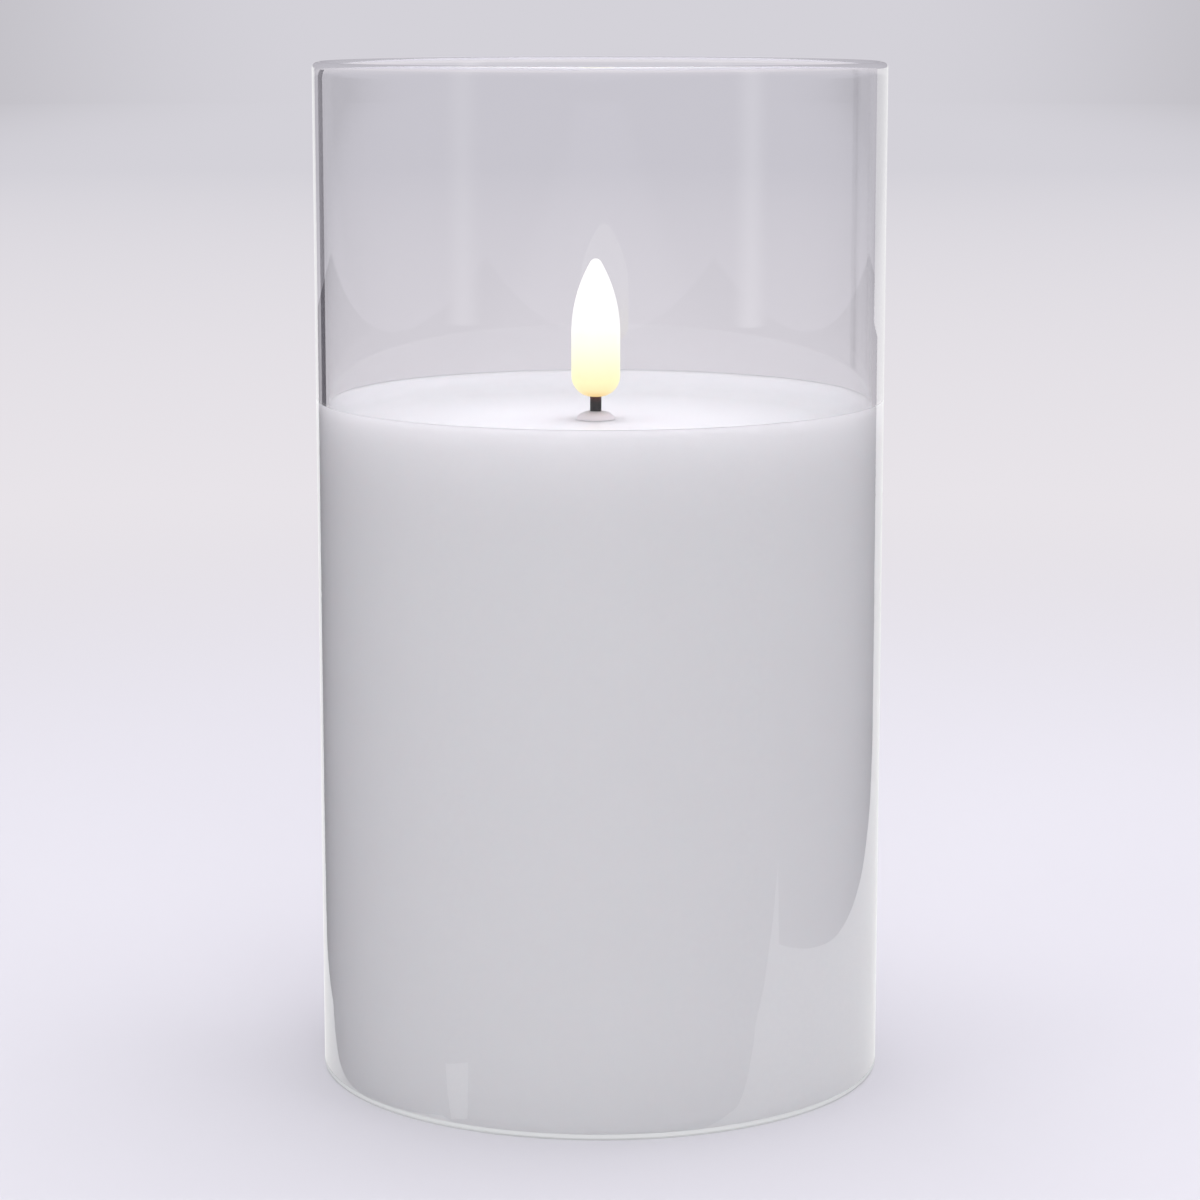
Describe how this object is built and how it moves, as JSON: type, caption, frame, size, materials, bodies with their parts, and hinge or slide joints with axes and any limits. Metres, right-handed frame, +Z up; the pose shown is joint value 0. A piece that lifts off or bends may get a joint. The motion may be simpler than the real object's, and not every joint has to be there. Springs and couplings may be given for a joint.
{
  "type": "led candle in glass",
  "caption": "White wax LED candle with a dished top and lit flame bulb on a black wick, in a tall clear glass cylinder closed below by a battery base.",
  "frame": {"origin": "centre of the ring that the glass stands on, on the table's surface", "axes": "+Z up along the glass cylinder; +X right and -Y to the front, as the picture shows the candle"},
  "size_m": [0.1, 0.1, 0.179],
  "materials": {
    "clear_glass": "polished",
    "candle_wax": "satin",
    "frosted_bulb": "frosted",
    "clear_epoxy": "gloss",
    "black_sleeve": "matte",
    "white_collar": "satin",
    "white_abs": "moulded",
    "sealant": "satin",
    "plated_steel": "plated",
    "zinc_screw": "zinc plated",
    "cell_jacket": "printed",
    "red_insulation": "extruded",
    "black_insulation": "extruded",
    "green_board": "solder mask",
    "black_epoxy": "moulded",
    "black_knob": "moulded",
    "aluminium_can": "drawn"
  },
  "bodies": {
    "candle": {"glass_cylinder": "clear_glass", "wax_candle": "candle_wax", "flame_bulb": "frosted_bulb", "flame_lamp": "clear_epoxy", "wick_sleeve": "black_sleeve", "wick_collar": "white_collar", "lamp_wire_red": "red_insulation", "lamp_wire_black": "black_insulation", "sealing_bead": "sealant", "base_housing": "white_abs", "inner_cover": "white_abs", "cover_screws": "zinc_screw", "battery_cell_front": "cell_jacket", "battery_cell_back": "cell_jacket", "positive_contact": "plated_steel", "negative_contact": "plated_steel", "negative_spring": "plated_steel", "bridge_contact": "plated_steel", "bridge_spring": "plated_steel", "battery_wire_red": "red_insulation", "battery_wire_black": "black_insulation", "circuit_board": "green_board", "board_screws": "zinc_screw", "timer_chip": "black_epoxy", "timer_crystal": "aluminium_can", "capacitor": "aluminium_can", "resistors": "black_epoxy", "switch_case": "plated_steel"},
    "battery_door": {"battery_door": "white_abs"},
    "switch_knob": {"switch_knob": "black_knob"}
  },
  "joints": [
    {"name": "door_hinge", "type": "hinge", "parent": "candle", "child": "battery_door", "pos_m": [-0.0279, -0.0015, 0.0016], "axis": [0, 1, 0], "range_deg": [0, 90]},
    {"name": "switch_slide", "type": "slide", "parent": "candle", "child": "switch_knob", "axis": [1, 0, 0], "range_m": [0, 0.004]}
  ]
}
